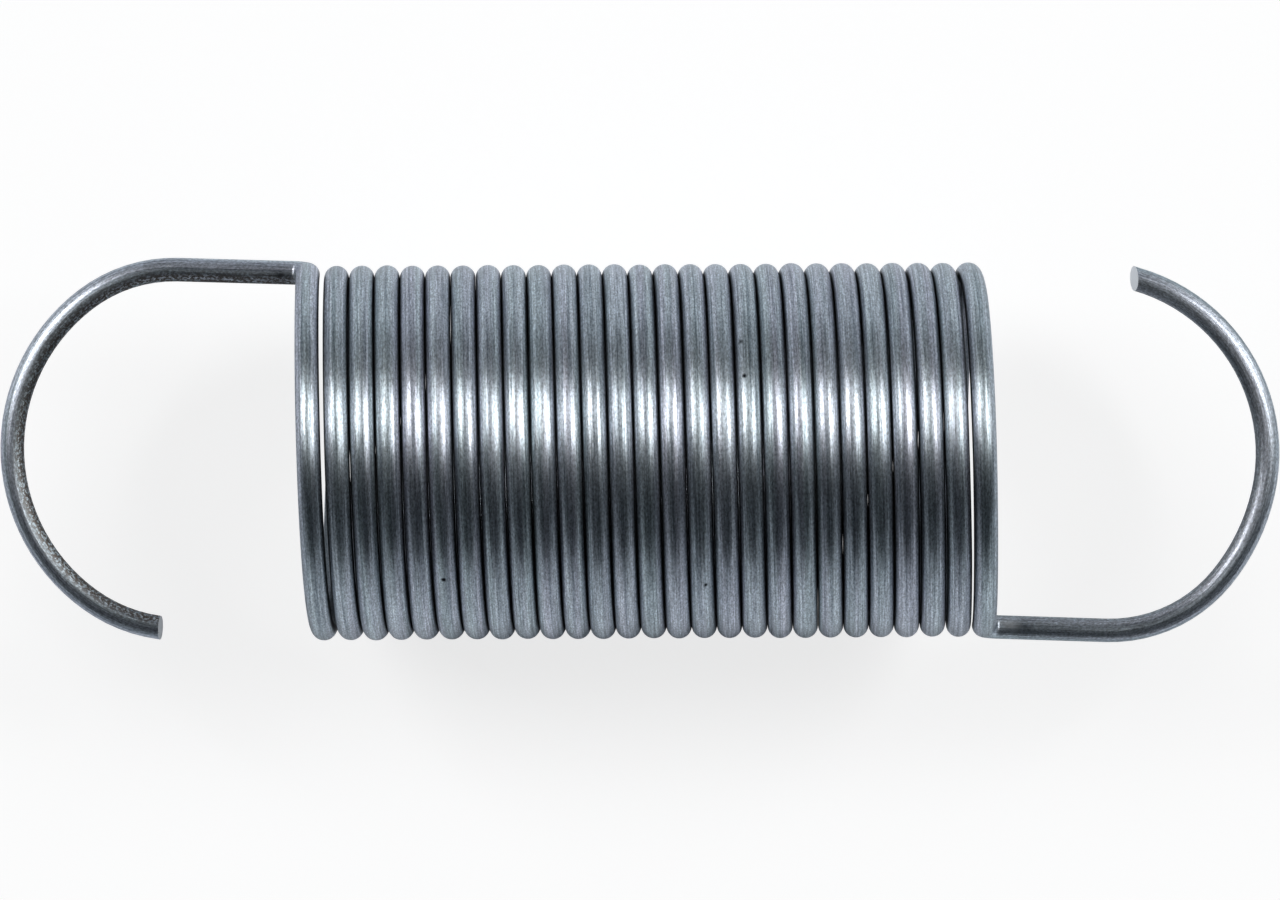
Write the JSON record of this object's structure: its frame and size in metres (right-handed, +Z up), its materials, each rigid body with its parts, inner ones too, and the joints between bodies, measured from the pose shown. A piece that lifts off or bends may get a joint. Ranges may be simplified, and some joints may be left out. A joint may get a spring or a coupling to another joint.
{
  "type": "extension spring",
  "caption": "Close-wound extension spring of round zinc-coated steel wire, with an open hook at each end that pulls two parts together.",
  "frame": {"origin": "on the surface the spring lies on, under the middle of the coil", "axes": "+X along the coil's axis towards the right hook, +Y the side on which the left hook's leg runs, +Z up; both hooks lie level"},
  "size_m": [0.0832, 0.0254, 0.0244],
  "materials": {
    "zinc_wire": "zinc-plated drawn spring wire, cool grey, satin, with fine lines along the wire"
  },
  "bodies": {
    "root": {"spring_wire": "zinc_wire"}
  },
  "joints": []
}
